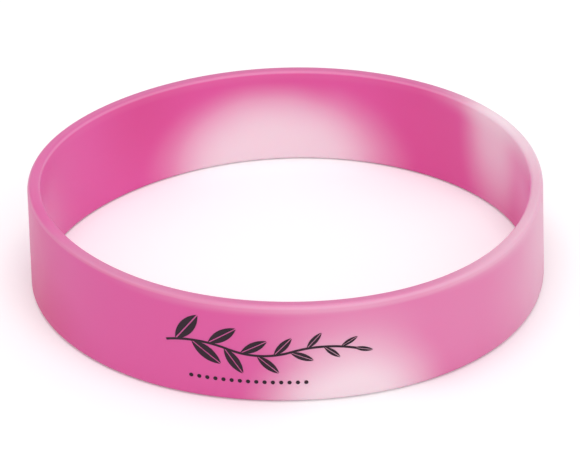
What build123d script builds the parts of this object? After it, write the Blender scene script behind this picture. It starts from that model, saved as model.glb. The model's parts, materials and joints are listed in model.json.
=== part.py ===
from build123d import *
import os

# Colour-change silicone wristband: one plain moulded loop that lies on its rim.
# Frame: origin at the centre of the lower rim, +Z along the loop's axis, millimetres.

# Driving dimensions
inner_diameter = 57.3      # across the wrist hole, which is 180 mm round, a standard wrist size
band_width = 12.0          # across the band, which is its height when it lies on its rim
wall_thickness = 1.5       # through the silicone
outer_edge_radius = 0.6    # rounding between the outer face and each rim
inner_edge_radius = 0.5    # rounding between the inner face and each rim
rim_flat_minimum = 0.1     # flat land that the roundings leave on each rim


def limited_edge_radii():
    """Edge radii as named, made smaller only where a thin wall leaves no room for them."""
    room = wall_thickness - rim_flat_minimum
    share = min(1.0, room / (outer_edge_radius + inner_edge_radius))
    return outer_edge_radius * share, inner_edge_radius * share


def make_section():
    """Cut through the band on the XZ plane, with its four corners rounded."""
    outer_rounding, inner_rounding = limited_edge_radii()
    centre = Location(((inner_diameter + wall_thickness) / 2, band_width / 2))
    section = Plane.XZ * centre * Rectangle(wall_thickness, band_width)
    outer_corners = section.vertices().sort_by(Axis.X)[-2:]
    section = fillet(outer_corners, outer_rounding)
    inner_corners = section.vertices().sort_by(Axis.X)[:2]
    return fillet(inner_corners, inner_rounding)


def make_wristband():
    """The whole loop, its section turned once round the axis."""
    band = revolve(make_section(), Axis.Z, 360)
    band.label = "wristband"
    return band


os.makedirs("parts", exist_ok=True)
wristband = make_wristband()
export_step(wristband, "parts/wristband.step")
print("wristband volume, cubic millimetres:", round(wristband.volume, 1))
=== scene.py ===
import json
from collections import namedtuple
from math import asin, atan2, cos, pi, radians, sin, tau

import bpy
from mathutils import Matrix, Vector


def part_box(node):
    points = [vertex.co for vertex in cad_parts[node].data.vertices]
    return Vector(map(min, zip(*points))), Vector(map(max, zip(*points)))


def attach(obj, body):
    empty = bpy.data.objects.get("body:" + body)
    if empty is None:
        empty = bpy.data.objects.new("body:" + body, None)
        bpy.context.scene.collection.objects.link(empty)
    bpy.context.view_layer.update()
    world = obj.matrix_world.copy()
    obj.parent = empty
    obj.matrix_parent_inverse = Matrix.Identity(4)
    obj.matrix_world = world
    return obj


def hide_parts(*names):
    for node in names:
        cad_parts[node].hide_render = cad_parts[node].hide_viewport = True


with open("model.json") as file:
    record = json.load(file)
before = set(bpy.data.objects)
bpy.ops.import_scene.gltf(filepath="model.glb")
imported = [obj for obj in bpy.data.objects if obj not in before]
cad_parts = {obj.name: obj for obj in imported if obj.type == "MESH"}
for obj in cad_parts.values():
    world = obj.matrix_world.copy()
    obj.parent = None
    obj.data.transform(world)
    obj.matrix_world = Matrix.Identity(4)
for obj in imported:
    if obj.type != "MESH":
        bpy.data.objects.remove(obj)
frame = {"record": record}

bl_info = {
    "name": "Colour-change wristband",
    "version": (1, 0, 0),
    "blender": (4, 5, 0),
    "location": "3D View > Sidebar > Wristband",
    "description": "A moulded silicone band with warm pale patches and a printed sprig, on a pale floor",
    "category": "Object",
}

MM = 0.001
BODY = "root"
BAND_NODE = "wristband"
BAND_PIECE = "rubber_band"
INK = "pad_print_ink"
GRAIN = "fine_grain"

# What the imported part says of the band
LOW_CORNER, HIGH_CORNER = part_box(BAND_NODE)
BAND_WIDTH = HIGH_CORNER.z - LOW_CORNER.z
OUTER_RADIUS = (HIGH_CORNER.x - LOW_CORNER.x) / 2
MOUNTS = {mount["name"]: mount for mount in frame["record"]["mounts"]}
INNER_RADIUS = MOUNTS["wrist_opening"]["dims"]["r_mm"] * MM

# Shapes
FINEST = 0.0005 * MM            # nearer than this, two points are one
ON_FACE = 0.01 * MM             # a point this near a face's radius lies on that face
LEAF_SIDES = 64                 # sides of the circle that a leaf is cut from
DOT_SIDES = 20
FLOOR_SIDES = 96
FLOOR_RADIUS = 3.0              # metres, so that its edge is out of every view
STEM_ARCS = 3                   # arcs of the stem, which bow up and down in turn
STEM_STEPS = 16                 # steps in each of them
FIRST_LEAF = 0.05               # where the first side leaf sits, as a share of the stem's length
LEAF_STRETCH = 0.87             # from the first side leaf to the last one, as such a share
TIP_LEAF = 0.988                # where the leaf at the tip sits, as such a share
PRINT_SLICE = 0.5 * MM          # a print is cut into slices this wide, so that it can follow the band
STAND_OFF = 2 * MM              # a flat print stands this far before the band until it is wrapped on to it
INK_THROUGH = 1.3               # whole thickness of the ink, in heights that it stands over the rubber
INK_OFFSET = 0.6                # places that thickness: 1 is all outside the rubber, -1 all inside
SHARP_EDGE = radians(35)        # the ink's faces that meet at more than this keep their edge

# Finish
FLAT_LEAN = (0.60, 0.92)        # upright share of the normal where the flat of a rim starts and is full
ROUNDING_LEAN = (0.08, 0.50)    # the same for the roundings of the upper rim
NOISE_MIDDLE = 0.5              # a noise goes as far over this as under it
CLOUDS_PER_METRE = 110.0        # the slow noise that moves the edges of the patches
EDGE_DRIFT = 0.16               # how far it moves them, as a share of a patch's size
BROAD_GRAIN = 0.06              # the broad noise has this share of the fine grain's count
UNDER_SKIN = (1.0, 0.45, 0.6)   # millimetres that red, green and blue light travel under the surface
WORN_INK = 1.7                  # how much brighter the thin spots of the ink are

# Where the rubber is warm and has turned pale and where it is cool and stays deep, with painted highlight,
# painted light and painted shade among them as marked, and where the painted sheen on the flat of the rim
# is weaker. Each patch lies on the face it names, or goes right through the wall as "both".
# Angles are degrees round the loop from +X. Heights are millimetres over the lower rim, and the half
# sizes are millimetres along and up the band.
Patch = namedtuple("Patch", "name face angle height half_length half_height squareness softness strength")
PALE_PATCHES = (
    Patch("back", "both", 92.6, -0.4, 12.6, 7.5, 2.4, 0.55, 0.85),
    Patch("back core", "both", 95, -1.5, 8.8, 8.0, 2.2, 0.60, 0.85),
    Patch("front", "both", 281.8, -1.5, 8.2, 7.4, 2.0, 0.55, 0.90),
    Patch("front top", "outside", 279.5, 8.0, 6.2, 3.2, 2.0, 0.80, 0.20),
    Patch("right", "both", 31, 12.0, 4.5, 9.4, 2.4, 0.70, 0.61),
    Patch("right rim", "both", 23, 13.0, 11.5, 2.6, 2.2, 0.70, 0.56),
    Patch("right flat", "rim", 340, 12.0, 12.0, 3.0, 2.0, 0.70, 0.28),
    # Painted light: the right edge, right side and right wash lighten the right of the outer face as light
    # from the right would, over some warm pale rubber; the right edge also carries painted highlight along
    # the upper edge.
    Patch("right edge", "outside", 319, 13.0, 9.6, 1.8, 2.2, 0.70, 0.36),
    Patch("right side", "outside", 353, 6.0, 12.0, 16.0, 2.0, 0.85, 0.37),
    Patch("right wash", "outside", 312, 6.0, 18.0, 14.0, 2.0, 0.85, 0.16),
    Patch("left inside", "inside", 182, 1.0, 9.0, 8.0, 2.0, 0.90, 0.16),
    Patch("right inside", "both", 19, 12.5, 7.0, 6.0, 2.0, 0.90, 0.36),
    # Painted highlight: from here to "back edge", thin pale bands on and just under the upper rounding
    # spread its highlight down the face; at the right inner edge this lies over warm pale rubber.
    Patch("right inner edge", "inside", 29, 11.5, 7.0, 0.8, 2.2, 0.80, 0.16),
    Patch("front edge", "outside", 262, 11.45, 12.0, 0.55, 2.2, 0.80, 0.13),
    Patch("front crest", "outside", 293, 11.42, 16.0, 0.34, 2.0, 0.70, 0.17),
    Patch("left crown", "outside", 228, 11.94, 12.0, 0.16, 2.2, 0.60, 0.20),
    Patch("back edge", "inside", 105, 11.4, 34.0, 0.5, 2.2, 0.80, 0.04),
)
DEEP_PATCHES = (
    Patch("back left", "both", 127, 9.0, 6.0, 6.0, 2.0, 0.90, 0.38),
    Patch("back right", "both", 54, 6.0, 8.0, 8.0, 2.0, 0.70, 0.36),
    Patch("back top", "inside", 90, 11.5, 13.0, 3.6, 2.0, 0.80, 0.20),
    Patch("right foot", "both", 16, 1.0, 10.0, 3.6, 2.0, 0.80, 0.36),
    # Painted shade: the left side and left foot darken the lower left of the outer face, where less light
    # falls.
    Patch("left side", "outside", 193, 3.0, 8.0, 9.0, 2.0, 0.80, 0.45),
    Patch("left foot", "outside", 197, 0.5, 9.0, 4.4, 2.0, 0.90, 0.60),
    # Lessens the painted highlight on the left rounding with deeper pink.
    Patch("left rounding", "rounding", 228, 11.6, 12.0, 0.5, 2.0, 0.80, 0.60),
)
# Where the painted sheen on the flat of the rim is weaker, so that the flat stays pinker on the left.
RIM_SHEEN_CUTS = (
    Patch("left rim", "rim", 174, 12.0, 17.0, 3.0, 2.0, 0.80, 0.50),
    Patch("left rim front", "rim", 199, 12.0, 7.0, 3.0, 2.0, 0.80, 0.50),
)


# Settings

def from_screen(red, green, blue):
    """A colour picked on screen, from 0 to 255, as Blender's linear numbers, by the sRGB curve."""
    def linear(value):
        level = value / 255
        return level / 12.92 if level <= 0.04045 else ((level + 0.055) / 1.055) ** 2.4
    return linear(red), linear(green), linear(blue), 1.0


def colour(label, told, default):
    """A colour setting."""
    return bpy.props.FloatVectorProperty(
        name=label, description=told, subtype="COLOR", size=4, min=0, max=1, default=default)


def length(label, told, millimetres):
    """A length setting, given in millimetres and kept in metres."""
    return bpy.props.FloatProperty(
        name=label, description=told, unit="LENGTH", precision=5, default=millimetres * MM)


def turn(label, told, degrees_round):
    """An angle setting, given in degrees."""
    return bpy.props.FloatProperty(
        name=label, description=told, unit="ROTATION", default=radians(degrees_round))


def share(label, told, default):
    """A setting from 0 to 1."""
    return bpy.props.FloatProperty(
        name=label, description=told, subtype="FACTOR", min=0, max=1, default=default)


def power(label, told, watts):
    """A light's power setting, in watts."""
    return bpy.props.FloatProperty(name=label, description=told, unit="POWER", min=0, default=watts)


def count(label, told, default, lowest=1):
    """A whole number setting."""
    return bpy.props.IntProperty(name=label, description=told, min=lowest, default=default)


class BandShapeSettings(bpy.types.PropertyGroup):
    outer_edge: length("Outer edge rounding", "Radius between the outer face and each rim", 0.6)
    inner_edge: length("Inner edge rounding", "Radius between the inner face and each rim", 0.5)
    oval: length("Oval", "How far the soft loop stands out of round, at its long way", 0.60)
    oval_at: turn("Oval direction", "Which way the long way lies", 94)
    lobes: length("Three lobes", "Height of the three shallow lobes of the loop", 0.28)
    lobes_at: turn("Lobe direction", "Where the first lobe lies", 55.6)
    ripple: length("Five lobes", "Height of the five faint lobes of the loop", 0.08)
    ripple_at: turn("Ripple direction", "Where the first faint lobe lies", 25)
    twist: length("Rim oval", "How much more oval the upper rim is than the lower one", 0.41)
    twist_at: turn("Rim oval direction", "Which way the upper rim's own long way lies", 124)
    rim_lobes: length("Rim lobes", "How much more the three lobes stand out on the upper rim", 0.23)
    rim_lobes_at: turn("Rim lobe direction", "Where the first lobe of the upper rim lies", 38)
    steps_round: count("Steps round", "Sections in the loop", 384, 3)
    edge_steps: count("Edge steps", "Steps in a rounding", 8)
    wall_cuts: count("Wall cuts", "Cuts across each face", 11)


class RubberSettings(bpy.types.PropertyGroup):
    cool: colour("Cool colour", "The rubber's own pink", from_screen(222, 89, 160))
    # Painted light: the inner face takes a brighter, more saturated copy of the rubber's pink, standing in
    # for the light that falls on it.
    inside: colour("Inside colour", "Pink of the face that lies on the wrist", from_screen(230, 92, 170))
    # Also the colour of the painted shade on the lower left.
    deep: colour("Deep colour", "Pink where the rubber is coolest", from_screen(213, 46, 126))
    # Also the colour of the painted highlight and painted light patches.
    pale: colour("Warm colour", "Pale pink where the rubber is warm", from_screen(246, 227, 234))
    # Painted sheen: a greyer, paler pink laid on the upward-facing flat of each rim, for the sheen that
    # light gives it there.
    rim: colour("Rim colour", "The duller pink of the flat of each rim", from_screen(213, 108, 161))
    # Painted highlight: the roundings of the upper rim are painted a paler pink where their highlight lies.
    rounding: colour("Rounding colour", "The paler pink on the roundings of the upper rim",
                     from_screen(229, 188, 211))
    painted_highlight: share("Rounding bloom", "How far the roundings take that colour", 0.32)
    roughness: share("Roughness", "Satin surface of moulded silicone", 0.33)
    glow: share("Translucence", "Share of light that passes under the surface", 0.25)


class PrintSettings(bpy.types.PropertyGroup):
    ink: colour("Ink colour", "Warm near-black of the pad-printed ink", from_screen(37, 22, 33))
    facing: turn("Facing", "Where round the band the middle of the print lies", 264.5)
    start: length("Print start", "Left end of the stem, from the middle of the print", -10.9)
    height: length("Stem height", "Line that the stem waves about, over the lower rim", 6.35)
    wave: length("Wave length", "Each of the stem's arcs, from end to end", 6.9)
    rise: length("Wave height", "How high each arc of the stem stands", 0.55)
    stem: length("Stem width", "Width of the stem's line", 0.26)
    long_leaf: length("Largest leaf", "Length of the first leaf", 4.3)
    short_leaf: length("Smallest leaf", "Length of the last leaf", 2.1)
    fatness: share("Leaf width", "Width of the first leaf, as a share of its length", 0.37)
    slimness: share("Last leaf width", "Width of the last leaf, as a share of its length", 0.27)
    vein: share("Vein width", "Bare line down the middle of a leaf, as a share of its length", 0.032)
    spread: turn("Leaf spread", "Angle between a leaf and the stem", 40)
    leaves: count("Leaves", "Leaves along the stem", 11, 2)
    dots: count("Dots", "Dots in the row under the sprig", 15)
    dot: length("Dot size", "Diameter of a dot", 0.46)
    dot_step: length("Dot spacing", "From one dot to the next", 0.90)
    dots_start: length("Row start", "First dot, from the middle of the print", -8.2)
    dots_height: length("Row height", "Height of the row over the lower rim", 2.55)
    ink_depth: length("Ink thickness", "How far the ink stands over the rubber", 0.03)


class StageSettings(bpy.types.PropertyGroup):
    floor: colour("Floor colour", "Pale table top", from_screen(250, 250, 250))
    lift: share("Floor lift", "White that the table top adds to what the camera sees of it", 0.12)
    sky: bpy.props.FloatProperty(
        name="Room light", description="Brightness of the room all round", min=0, max=10, default=0.70)
    overhead: power("Overhead light", "Power of the soft box over the band", 0.75)
    front: power("Front light", "Power of the wide soft box behind the camera", 2.2)
    elevation: turn("Camera elevation", "Height of the camera over the table", 27.33)
    roll: turn("Camera roll", "Turn of the camera about its own line of sight", -1.34)
    distance: length("Camera distance", "From the camera to the middle of the band", 407.6)
    lens: bpy.props.FloatProperty(
        name="Lens", description="Focal length, in millimetres", unit="CAMERA", default=219.4)
    aim_right: length("Aim right", "The point aimed at, to the right of the axis", 0.08)
    aim_up: length("Aim up", "The point aimed at, over the table", 4.56)


# Modelling helpers

def deselect_all():
    """Leave no object selected."""
    bpy.ops.object.select_all(action="DESELECT")


def keep_only_selected(piece):
    """Make a piece the one selected, active object."""
    deselect_all()
    piece.select_set(True)
    bpy.context.view_layer.objects.active = piece


def name_new_piece(name):
    """Name the active object, which was just made, and its mesh."""
    piece = bpy.context.active_object
    piece.name = name
    piece.data.name = name
    return piece


def apply_place(piece):
    """Write a piece's place, turn and size into its mesh."""
    keep_only_selected(piece)
    bpy.ops.object.transform_apply(location=True, rotation=True, scale=True)


def add_disc(name, sides, radius):
    """A flat disc at the origin."""
    deselect_all()
    bpy.ops.mesh.primitive_circle_add(vertices=sides, radius=radius, fill_type="NGON", location=(0, 0, 0))
    return name_new_piece(name)


def arc_radius(width, rise):
    """Radius of the arc that spans a width and stands this high over it."""
    return (width ** 2 / 4 + rise ** 2) / (2 * rise)


def alternate(number):
    """1 for an even number and -1 for an odd one."""
    return 1 if number % 2 == 0 else -1


def seat_piece(piece, material):
    """Put a finished piece on the band's body, with its material."""
    piece.data.materials.clear()
    piece.data.materials.append(material)
    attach(piece, BODY)


# Node helpers

def connect(tree, value, socket):
    """Link an output to a socket, or set the socket to a plain value."""
    if isinstance(value, bpy.types.NodeSocket):
        tree.links.new(value, socket)
    else:
        socket.default_value = value


def fill_sockets(tree, node, values):
    """Link or set a node's sockets by their names."""
    for label, value in values.items():
        connect(tree, value, node.inputs[label])


def math_node(tree, operation, *values, clamp=False):
    """A Math node, with numbers or other nodes' outputs as its inputs."""
    node = tree.nodes.new("ShaderNodeMath")
    node.operation = operation
    node.use_clamp = clamp
    for socket, value in zip(node.inputs, values):
        connect(tree, value, socket)
    return node.outputs[0]


def vector_node(tree, operation, *values):
    """A Vector Math node, with plain vectors or other nodes' outputs as its inputs."""
    node = tree.nodes.new("ShaderNodeVectorMath")
    node.operation = operation
    for socket, value in zip(node.inputs, values):
        connect(tree, value, socket)
    return node.outputs["Value" if operation == "DOT_PRODUCT" else "Vector"]


def soft_step(tree, value, start, stop):
    """A smooth step from 0 to 1 as the value goes from start to stop."""
    node = tree.nodes.new("ShaderNodeMapRange")
    node.interpolation_type = "SMOOTHSTEP"
    fill_sockets(tree, node, {"Value": value, "From Min": start, "From Max": stop})
    return node.outputs["Result"]


def noise_node(tree, position, scale, detail):
    """A noise over the surface, from about 0 to 1."""
    node = tree.nodes.new("ShaderNodeTexNoise")
    fill_sockets(tree, node, {"Vector": position, "Scale": scale, "Detail": detail})
    return node.outputs["Fac"]


def centre_noise(tree, noise, size):
    """A noise moved to lie about 0, and made this large."""
    return math_node(tree, "MULTIPLY", math_node(tree, "SUBTRACT", noise, NOISE_MIDDLE), size)


def mix_colours(tree, factor, first, second):
    """A colour mix of two colours or outputs."""
    node = tree.nodes.new("ShaderNodeMix")
    node.data_type = "RGBA"
    fill_sockets(tree, node, {"Factor": factor, "A": first, "B": second})
    return node.outputs["Result"]


def bump_node(tree, height, strength, distance):
    """The normal of a surface with a fine relief."""
    node = tree.nodes.new("ShaderNodeBump")
    fill_sockets(tree, node, {"Height": height, "Strength": strength, "Distance": distance})
    return node.outputs["Normal"]


def object_position(tree):
    """Where a point of the piece lies, in the frame of the part."""
    return tree.nodes.new("ShaderNodeTexCoord").outputs["Object"]


def new_material(name):
    """A node material with only its Principled shader and output."""
    material = bpy.data.materials.new(name)
    material.use_nodes = True
    tree = material.node_tree
    tree.nodes.clear()
    output = tree.nodes.new("ShaderNodeOutputMaterial")
    shader = tree.nodes.new("ShaderNodeBsdfPrincipled")
    tree.links.new(shader.outputs["BSDF"], output.inputs["Surface"])
    return material, tree, shader


def new_group(name, inputs, outputs):
    """An empty shader node group with named sockets, and its two end nodes."""
    tree = bpy.data.node_groups.new(name, "ShaderNodeTree")
    for label, kind, default in inputs:
        socket = tree.interface.new_socket(name=label, in_out="INPUT", socket_type=kind)
        if default is not None:
            socket.default_value = default
    for label, kind in outputs:
        tree.interface.new_socket(name=label, in_out="OUTPUT", socket_type=kind)
    return tree, tree.nodes.new("NodeGroupInput").outputs, tree.nodes.new("NodeGroupOutput").inputs


def place_group(tree, group, values):
    """A copy of a group in a material, with its own values."""
    node = tree.nodes.new("ShaderNodeGroup")
    node.node_tree = group
    fill_sockets(tree, node, values)
    return node


# Shader groups

def make_patch_group():
    """A soft-edged patch on the band, added to the patches before it."""
    tree, given, result = new_group(
        "band_patch",
        (("Position", "NodeSocketVector", None), ("Covered", "NodeSocketFloat", 0.0),
         ("Angle", "NodeSocketFloat", 0.0), ("Height", "NodeSocketFloat", 0.0),
         ("Half Length", "NodeSocketFloat", 1.0), ("Half Height", "NodeSocketFloat", 1.0),
         ("Squareness", "NodeSocketFloat", 2.0), ("Softness", "NodeSocketFloat", 0.5),
         ("Strength", "NodeSocketFloat", 1.0), ("Drift", "NodeSocketFloat", 0.0),
         ("Face", "NodeSocketFloat", 1.0)),
        (("Covered", "NodeSocketFloat"),))
    turned = tree.nodes.new("ShaderNodeVectorRotate")
    turned.rotation_type = "Z_AXIS"
    fill_sockets(tree, turned, {
        "Vector": given["Position"], "Angle": math_node(tree, "MULTIPLY", given["Angle"], -1.0)})
    parts = tree.nodes.new("ShaderNodeSeparateXYZ")
    tree.links.new(turned.outputs["Vector"], parts.inputs["Vector"])
    across = math_node(tree, "ARCTAN2", parts.outputs["Y"], parts.outputs["X"])
    along = math_node(tree, "MULTIPLY", across, OUTER_RADIUS)
    above = math_node(tree, "SUBTRACT", parts.outputs["Z"], given["Height"])
    terms = []
    for distance, half in ((along, given["Half Length"]), (above, given["Half Height"])):
        ratio = math_node(tree, "ABSOLUTE", math_node(tree, "DIVIDE", distance, half))
        terms.append(math_node(tree, "POWER", ratio, given["Squareness"]))
    root = math_node(tree, "DIVIDE", 1.0, given["Squareness"])
    reach = math_node(tree, "POWER", math_node(tree, "ADD", *terms), root)
    reach = math_node(tree, "ADD", reach, given["Drift"])
    patch = soft_step(tree, reach, math_node(tree, "ADD", 1.0, given["Softness"]),
                      math_node(tree, "SUBTRACT", 1.0, given["Softness"]))
    patch = math_node(tree, "MULTIPLY", patch, given["Strength"])
    patch = math_node(tree, "MULTIPLY", patch, given["Face"])
    bare = math_node(tree, "MULTIPLY", math_node(tree, "SUBTRACT", 1.0, patch),
                     math_node(tree, "SUBTRACT", 1.0, given["Covered"]))
    tree.links.new(math_node(tree, "SUBTRACT", 1.0, bare), result["Covered"])
    return tree


def find_grain_group():
    """Fine moulded grain: a height for bump, and a small change of roughness and of colour. Built once."""
    if GRAIN in bpy.data.node_groups:
        return bpy.data.node_groups[GRAIN]
    tree, given, result = new_group(
        GRAIN,
        (("Position", "NodeSocketVector", None), ("Grains Per Metre", "NodeSocketFloat", 5000.0),
         ("Roughness", "NodeSocketFloat", 0.4), ("Spread", "NodeSocketFloat", 0.1)),
        (("Height", "NodeSocketFloat"), ("Roughness", "NodeSocketFloat"), ("Mottle", "NodeSocketFloat")))
    fine = noise_node(tree, given["Position"], scale=given["Grains Per Metre"], detail=3.0)
    blotches = math_node(tree, "MULTIPLY", given["Grains Per Metre"], BROAD_GRAIN)
    broad = noise_node(tree, given["Position"], scale=blotches, detail=2.0)
    change = centre_noise(tree, broad, given["Spread"])
    tree.links.new(fine, result["Height"])
    tree.links.new(math_node(tree, "ADD", given["Roughness"], change), result["Roughness"])
    tree.links.new(broad, result["Mottle"])
    return tree


# Materials

def chain_patches(tree, group, patches, faces, shared):
    """Every patch of a table, each placed over the ones before it."""
    covered = 0.0
    for patch in patches:
        node = place_group(tree, group, {
            **shared, "Covered": covered, "Face": faces[patch.face],
            "Angle": radians(patch.angle), "Height": patch.height * MM,
            "Half Length": patch.half_length * MM, "Half Height": patch.half_height * MM,
            "Squareness": patch.squareness, "Softness": patch.softness, "Strength": patch.strength})
        node.label = patch.name
        covered = node.outputs["Covered"]
    return covered


def face_masks(tree, position):
    """Masks of the outer and inner faces, the flat rims and the roundings, told by where each looks."""
    normal = tree.nodes.new("ShaderNodeNewGeometry").outputs["Normal"]
    outward = vector_node(tree, "NORMALIZE", vector_node(tree, "MULTIPLY", position, (1, 1, 0)))
    facing = vector_node(tree, "DOT_PRODUCT", outward, normal)
    outside = math_node(tree, "MULTIPLY_ADD", facing, 0.5, 0.5, clamp=True)
    upward = vector_node(tree, "DOT_PRODUCT", normal, (0, 0, 1))
    rim = soft_step(tree, math_node(tree, "ABSOLUTE", upward), *FLAT_LEAN)
    rounding = math_node(tree, "SUBTRACT", soft_step(tree, upward, *ROUNDING_LEAN), rim, clamp=True)
    return {"outside": outside, "inside": math_node(tree, "SUBTRACT", 1.0, outside), "both": 1.0,
            "rim": rim, "rounding": rounding}


def make_rubber_material(rubber):
    """Thermochromic silicone: pink that turns pale where it is warm, with painted highlight on the upper
    roundings, painted sheen on the rim flats, and painted light and painted shade on some faces.
    """
    material, tree, shader = new_material("colour_change_silicone")
    position = object_position(tree)
    cloud = noise_node(tree, position, scale=CLOUDS_PER_METRE, detail=1.0)
    shared = {"Position": position, "Drift": centre_noise(tree, cloud, EDGE_DRIFT)}
    faces = face_masks(tree, position)
    patch_group = make_patch_group()
    deep = chain_patches(tree, patch_group, DEEP_PATCHES, faces, shared)
    pale = chain_patches(tree, patch_group, PALE_PATCHES, faces, shared)
    rim_sheen_cut = chain_patches(tree, patch_group, RIM_SHEEN_CUTS, faces, shared)
    rim_sheen = math_node(tree, "SUBTRACT", faces["rim"], rim_sheen_cut)
    # Painted highlight on the roundings of the upper rim, by how far each looks up.
    painted_highlight = math_node(tree, "MULTIPLY", faces["rounding"], rubber.painted_highlight)
    # Painted light: the inner face is given the brighter inside pink.
    base = mix_colours(tree, faces["inside"], rubber.cool, rubber.inside)
    # The deep patches hold painted shade on the lower left as well as cool rubber.
    base = mix_colours(tree, deep, base, rubber.deep)
    # Painted sheen on the flats of the rims, less where the cuts lie.
    base = mix_colours(tree, rim_sheen, base, rubber.rim)
    base = mix_colours(tree, painted_highlight, base, rubber.rounding)
    # The pale patches hold painted highlight and painted light as well as warm pale rubber.
    base = mix_colours(tree, pale, base, rubber.pale)
    grain = place_group(tree, find_grain_group(), {
        "Position": position, "Roughness": rubber.roughness, "Spread": 0.08})
    relief = bump_node(tree, grain.outputs["Height"], strength=0.12, distance=0.02 * MM)
    shader.subsurface_method = "RANDOM_WALK"
    fill_sockets(tree, shader, {
        "Base Color": base, "Roughness": grain.outputs["Roughness"], "Normal": relief, "IOR": 1.43,
        "Subsurface Weight": rubber.glow, "Subsurface Radius": UNDER_SKIN, "Subsurface Scale": MM})
    return material


def find_ink(look):
    """Pad-printed ink, made once: warm near-black, matte, a little uneven."""
    if INK in bpy.data.materials:
        return bpy.data.materials[INK]
    material, tree, shader = new_material(INK)
    grain = place_group(tree, find_grain_group(), {
        "Position": object_position(tree), "Grains Per Metre": 9000.0, "Roughness": 0.5, "Spread": 0.2})
    worn = [channel * WORN_INK for channel in look.ink[:3]] + [1.0]
    fill_sockets(tree, shader, {
        "Base Color": mix_colours(tree, grain.outputs["Mottle"], look.ink, worn),
        "Roughness": grain.outputs["Roughness"], "Specular IOR Level": 0.25,
        "Normal": bump_node(tree, grain.outputs["Height"], strength=0.15, distance=0.01 * MM)})
    return material


# The band

def select_at_radius(section, radius):
    """In edit mode, select just the section's vertices at a radius."""
    bpy.ops.mesh.select_mode(type="VERT")
    bpy.ops.mesh.select_all(action="DESELECT")
    bpy.ops.object.mode_set(mode="OBJECT")
    for vertex in section.data.vertices:
        vertex.select = abs(vertex.co.x - radius) < ON_FACE
    bpy.ops.object.mode_set(mode="EDIT")


def add_section(shape):
    """The band's section, left in edit mode: a closed line on the XZ plane with rounded corners."""
    middle = (OUTER_RADIUS + INNER_RADIUS) / 2
    deselect_all()
    bpy.ops.mesh.primitive_plane_add(size=1, location=(0, 0, 0))
    section = name_new_piece(BAND_PIECE)
    bpy.ops.object.mode_set(mode="EDIT")
    bpy.ops.mesh.select_all(action="SELECT")
    bpy.ops.transform.resize(value=(OUTER_RADIUS - INNER_RADIUS, BAND_WIDTH, 1), center_override=(0, 0, 0))
    bpy.ops.transform.rotate(value=pi / 2, orient_axis="X", center_override=(0, 0, 0))
    bpy.ops.transform.translate(value=(middle, 0, BAND_WIDTH / 2))
    for radius, rounding in ((OUTER_RADIUS, shape.outer_edge), (INNER_RADIUS, shape.inner_edge)):
        select_at_radius(section, radius)
        bpy.ops.mesh.bevel(offset=rounding, segments=shape.edge_steps, profile=0.5,
                           affect="VERTICES", offset_type="OFFSET")
    bpy.ops.mesh.select_all(action="SELECT")
    bpy.ops.mesh.delete(type="ONLY_FACE")
    for radius in (OUTER_RADIUS, INNER_RADIUS):
        select_at_radius(section, radius)
        bpy.ops.mesh.subdivide(number_cuts=shape.wall_cuts)
    return section


def spin_section(shape):
    """Turn the section that is being edited once round the axis, close the loop and leave edit mode."""
    bpy.ops.mesh.select_all(action="SELECT")
    bpy.ops.mesh.spin(steps=shape.steps_round, angle=tau, center=(0, 0, 0), axis=(0, 0, 1))
    bpy.ops.mesh.select_all(action="SELECT")
    bpy.ops.mesh.remove_doubles(threshold=FINEST)
    bpy.ops.mesh.normals_make_consistent(inside=False)
    bpy.ops.object.mode_set(mode="OBJECT")


def out_of_round(shape, angle, height):
    """How far the soft loop stands outside its true circle, at an angle and a height."""
    loop = (shape.oval * cos(2 * (angle - shape.oval_at))
            + shape.lobes * cos(3 * (angle - shape.lobes_at))
            + shape.ripple * cos(5 * (angle - shape.ripple_at)))
    rim = (shape.twist * cos(2 * (angle - shape.twist_at))
           + shape.rim_lobes * cos(3 * (angle - shape.rim_lobes_at)))
    return loop + (height / BAND_WIDTH - 0.5) * rim


def relax(band, shape):
    """Let the true circle a little out of round, wall and rims together."""
    for vertex in band.data.vertices:
        x, y, z = vertex.co
        angle = atan2(y, x)
        shift = out_of_round(shape, angle, z)
        vertex.co = (x + shift * cos(angle), y + shift * sin(angle), z)


class WRISTBAND_OT_make_band(bpy.types.Operator):
    """Model the rubber loop: a rounded section, spun once round the axis and let a little out of round"""
    bl_idname = "wristband.make_band"
    bl_label = "Make Rubber Band"
    bl_options = {"REGISTER", "UNDO"}

    def execute(self, context):
        shape = context.scene.wristband_shape
        band = add_section(shape)
        spin_section(shape)
        relax(band, shape)
        keep_only_selected(band)
        bpy.ops.object.shade_smooth()
        seat_piece(band, make_rubber_material(context.scene.wristband_rubber))
        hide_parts(BAND_NODE)
        return {"FINISHED"}


# The print

def lay(piece, place, heading=0.0):
    """Turn a flat piece to its heading and move it to its place in the print."""
    piece.rotation_euler.z = heading
    piece.location = (*place, 0)
    apply_place(piece)
    return piece


def add_leaf(size, fatness, vein):
    """A flat pointed leaf of two halves with a bare vein between them, its foot at the origin, along +X."""
    half_width = size * fatness / 2
    half_vein = size * vein / 2
    radius = arc_radius(size, half_width)
    leaf = add_disc("leaf", LEAF_SIDES, radius)
    bpy.ops.object.mode_set(mode="EDIT")
    bpy.ops.mesh.select_all(action="SELECT")
    bpy.ops.transform.translate(value=(size / 2, half_width - radius, 0))
    bpy.ops.mesh.bisect(plane_co=(0, half_vein, 0), plane_no=(0, 1, 0), clear_inner=True, threshold=FINEST)
    bpy.ops.mesh.select_all(action="SELECT")
    bpy.ops.mesh.duplicate()
    bpy.ops.transform.resize(value=(1, -1, 1), center_override=(0, 0, 0))
    bpy.ops.object.mode_set(mode="OBJECT")
    return leaf


def stem_bow(look):
    """Radius and half angle of each of the stem's equal arcs."""
    radius = arc_radius(look.wave, look.rise)
    return radius, asin(look.wave / 2 / radius)


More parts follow.
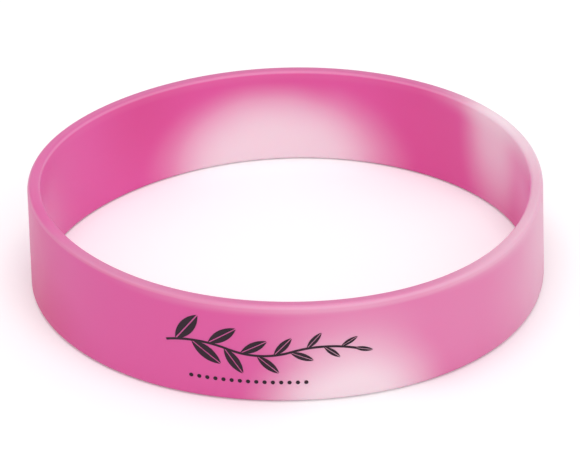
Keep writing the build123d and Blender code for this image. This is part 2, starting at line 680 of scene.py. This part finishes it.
def along_stem(look, share_along):
    """Place and heading at a share of the way along the stem."""
    radius, half = stem_bow(look)
    arc = min(int(share_along * STEM_ARCS), STEM_ARCS - 1)
    swing = (2 * (share_along * STEM_ARCS - arc) - 1) * half
    x = look.start + (arc + 0.5) * look.wave + radius * sin(swing)
    y = look.height + alternate(arc) * (radius * cos(swing) - radius + look.rise)
    return (x, y), -alternate(arc) * swing


def add_stem(look):
    """The stem: a short edge, spun through arcs that bow up and down in turn."""
    radius, half = stem_bow(look)
    deselect_all()
    bpy.ops.mesh.primitive_plane_add(size=look.stem, location=(0, 0, 0))
    stem = name_new_piece("stem")
    bpy.ops.object.mode_set(mode="EDIT")
    bpy.ops.mesh.select_all(action="SELECT")
    bpy.ops.transform.resize(value=(0, 1, 1), center_override=(0, 0, 0))
    bpy.ops.mesh.remove_doubles(threshold=FINEST)
    bpy.ops.object.mode_set(mode="OBJECT")
    lay(stem, *along_stem(look, 0.0))
    bpy.ops.object.mode_set(mode="EDIT")
    bpy.ops.mesh.select_all(action="SELECT")
    for arc in range(STEM_ARCS):
        bulge = alternate(arc)
        centre = (look.start + (arc + 0.5) * look.wave, look.height + bulge * (look.rise - radius), 0)
        bpy.ops.mesh.spin(steps=STEM_STEPS, angle=bulge * 2 * half, center=centre, axis=(0, 0, 1))
    bpy.ops.object.mode_set(mode="OBJECT")
    return stem


def join_pieces(pieces, name):
    """Make one object of flat pieces."""
    deselect_all()
    for piece in pieces:
        piece.select_set(True)
    bpy.context.view_layer.objects.active = pieces[0]
    if len(pieces) > 1:
        bpy.ops.object.join()
    return name_new_piece(name)


def slice_print(printed):
    """Turn all faces of a flat print the same way, and cut it across into narrow slices."""
    for face in printed.data.polygons:
        face.select = face.normal.z < 0
    across = [vertex.co.x for vertex in printed.data.vertices]
    left_end = min(across)
    slices = int((max(across) - left_end) / PRINT_SLICE)
    bpy.ops.object.mode_set(mode="EDIT")
    bpy.ops.mesh.select_mode(type="FACE")
    bpy.ops.mesh.flip_normals()
    for cut in range(1, slices + 1):
        plane = (left_end + cut * PRINT_SLICE, 0, 0)
        bpy.ops.mesh.select_all(action="SELECT")
        bpy.ops.mesh.bisect(plane_co=plane, plane_no=(1, 0, 0), threshold=FINEST)
    bpy.ops.object.mode_set(mode="OBJECT")


def wrap_print(printed, look):
    """Stand a flat print upright before the band, wrap it on to the rubber and give it its thickness."""
    printed.rotation_euler.x = pi / 2
    apply_place(printed)
    distance = OUTER_RADIUS + STAND_OFF
    printed.rotation_euler.z = look.facing + pi / 2
    printed.location = (distance * cos(look.facing), distance * sin(look.facing), 0)
    wrap = printed.modifiers.new("wrap", "SHRINKWRAP")
    wrap.target = bpy.data.objects[BAND_PIECE]
    wrap.wrap_method = "PROJECT"
    wrap.use_project_y = True
    wrap.use_negative_direction = False
    wrap.use_positive_direction = True
    bpy.ops.object.modifier_apply(modifier=wrap.name)
    thicken = printed.modifiers.new("thicken", "SOLIDIFY")
    thicken.thickness = look.ink_depth * INK_THROUGH
    thicken.offset = INK_OFFSET
    bpy.ops.object.modifier_apply(modifier=thicken.name)
    apply_place(printed)


def print_on_band(pieces, name, look):
    """Make one inked piece of flat pieces, on the front of the band."""
    printed = join_pieces(pieces, name)
    slice_print(printed)
    wrap_print(printed, look)
    bpy.ops.object.shade_smooth_by_angle(angle=SHARP_EDGE)
    seat_piece(printed, find_ink(look))


class WRISTBAND_OT_print_sprig(bpy.types.Operator):
    """Print the leafy sprig on the front of the band: a waving stem with leaves that grow finer along it"""
    bl_idname = "wristband.print_sprig"
    bl_label = "Print Sprig"
    bl_options = {"REGISTER", "UNDO"}

    def execute(self, context):
        look = context.scene.wristband_print
        pieces = [add_stem(look)]
        for number in range(look.leaves):
            along = number / (look.leaves - 1)
            place, heading = along_stem(look, FIRST_LEAF + LEAF_STRETCH * along)
            size = look.long_leaf + (look.short_leaf - look.long_leaf) * along
            fatness = look.fatness + (look.slimness - look.fatness) * along
            leaf = add_leaf(size, fatness, look.vein)
            pieces.append(lay(leaf, place, heading + alternate(number) * look.spread))
        tip = add_leaf(look.short_leaf, look.slimness, look.vein)
        pieces.append(lay(tip, *along_stem(look, TIP_LEAF)))
        print_on_band(pieces, "printed_sprig", look)
        return {"FINISHED"}


class WRISTBAND_OT_print_dots(bpy.types.Operator):
    """Print the fine row of dots under the sprig"""
    bl_idname = "wristband.print_dots"
    bl_label = "Print Dots"
    bl_options = {"REGISTER", "UNDO"}

    def execute(self, context):
        look = context.scene.wristband_print
        pieces = []
        for number in range(look.dots):
            place = (look.dots_start + number * look.dot_step, look.dots_height)
            pieces.append(lay(add_disc("dot", DOT_SIDES, look.dot / 2), place))
        print_on_band(pieces, "printed_dots", look)
        return {"FINISHED"}


# The stage

def add_floor(stage):
    """A wide pale table top, which the camera sees a little whiter than its light makes it."""
    floor = add_disc("floor", FLOOR_SIDES, FLOOR_RADIUS)
    material, tree, shader = new_material("pale_table")
    seen = tree.nodes.new("ShaderNodeLightPath").outputs["Is Camera Ray"]
    fill_sockets(tree, shader, {
        "Base Color": stage.floor, "Roughness": 0.6, "Specular IOR Level": 0.2,
        "Emission Color": stage.floor, "Emission Strength": math_node(tree, "MULTIPLY", seen, stage.lift)})
    floor.data.materials.append(material)


def light_room(stage):
    """Plain white light from all round."""
    world = bpy.data.worlds.new("studio_room")
    world.use_nodes = True
    background = world.node_tree.nodes["Background"]
    background.inputs["Color"].default_value = (1, 1, 1, 1)
    background.inputs["Strength"].default_value = stage.sky
    bpy.context.scene.world = world


def add_soft_box(name, place, width, depth, watts):
    """A rectangular light that looks at the foot of the band's axis."""
    bpy.ops.object.light_add(type="AREA", location=place)
    box = bpy.context.active_object
    box.name = name
    box.data.shape = "RECTANGLE"
    box.data.size = width
    box.data.size_y = depth
    box.data.energy = watts
    box.rotation_euler = (Vector((0, 0, 0)) - box.location).to_track_quat("-Z", "Y").to_euler()


def add_camera(stage):
    """The camera at the photo's angle, turned a little about its line of sight."""
    back = Vector((0, -cos(stage.elevation), sin(stage.elevation)))
    right = Vector((1, 0, 0))
    up = back.cross(right)
    right_rolled = cos(stage.roll) * right + sin(stage.roll) * up
    up_rolled = cos(stage.roll) * up - sin(stage.roll) * right
    place = Vector((stage.aim_right, 0, stage.aim_up)) + stage.distance * back
    bpy.ops.object.camera_add()
    camera = bpy.context.active_object
    camera.name = "photo_camera"
    camera.matrix_world = Matrix.Translation(place) @ Matrix(
        (right_rolled, up_rolled, back)).transposed().to_4x4()
    camera.data.sensor_fit = "HORIZONTAL"
    camera.data.sensor_width = 36
    camera.data.lens = stage.lens
    camera.data.clip_start = 0.01
    bpy.context.scene.camera = camera


class WRISTBAND_OT_set_stage(bpy.types.Operator):
    """Lay the pale floor, and place the soft light and the camera"""
    bl_idname = "wristband.set_stage"
    bl_label = "Set Stage"
    bl_options = {"REGISTER", "UNDO"}

    def execute(self, context):
        stage = context.scene.wristband_stage
        add_floor(stage)
        light_room(stage)
        add_soft_box("overhead_soft_box", place=(0.0, -0.04, 0.50), width=0.32, depth=0.28,
                     watts=stage.overhead)
        add_soft_box("front_soft_box", place=(0.22, -0.88, 0.45), width=1.2, depth=0.7,
                     watts=stage.front)
        add_camera(stage)
        context.scene.view_settings.view_transform = "Standard"
        return {"FINISHED"}


# Panel and registration

class WRISTBAND_PT_pieces(bpy.types.Panel):
    """Lists the settings and the steps that make the band"""
    bl_idname = "WRISTBAND_PT_pieces"
    bl_label = "Colour-change wristband"
    bl_space_type = "VIEW_3D"
    bl_region_type = "UI"
    bl_category = "Wristband"

    def draw(self, context):
        scene = context.scene
        for settings, operators in (
                (scene.wristband_shape, (WRISTBAND_OT_make_band,)),
                (scene.wristband_rubber, ()),
                (scene.wristband_print, (WRISTBAND_OT_print_sprig, WRISTBAND_OT_print_dots)),
                (scene.wristband_stage, (WRISTBAND_OT_set_stage,))):
            box = self.layout.box()
            for field in settings.__annotations__:
                box.prop(settings, field)
            for operator in operators:
                box.operator(operator.bl_idname)


SETTINGS = (
    ("wristband_shape", BandShapeSettings),
    ("wristband_rubber", RubberSettings),
    ("wristband_print", PrintSettings),
    ("wristband_stage", StageSettings),
)
CLASSES = (
    BandShapeSettings, RubberSettings, PrintSettings, StageSettings,
    WRISTBAND_OT_make_band, WRISTBAND_OT_print_sprig, WRISTBAND_OT_print_dots,
    WRISTBAND_OT_set_stage, WRISTBAND_PT_pieces,
)


def register():
    """Add the settings, steps and panel to Blender."""
    for cls in CLASSES:
        bpy.utils.register_class(cls)
    for name, group in SETTINGS:
        setattr(bpy.types.Scene, name, bpy.props.PointerProperty(type=group))


def unregister():
    """Take them out again."""
    for name, _ in SETTINGS:
        delattr(bpy.types.Scene, name)
    for cls in reversed(CLASSES):
        bpy.utils.unregister_class(cls)


def main():
    """Make every piece and the stage."""
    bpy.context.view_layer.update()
    register()
    bpy.ops.wristband.make_band()
    bpy.ops.wristband.print_sprig()
    bpy.ops.wristband.print_dots()
    bpy.ops.wristband.set_stage()


if __name__ == "__main__":
    main()
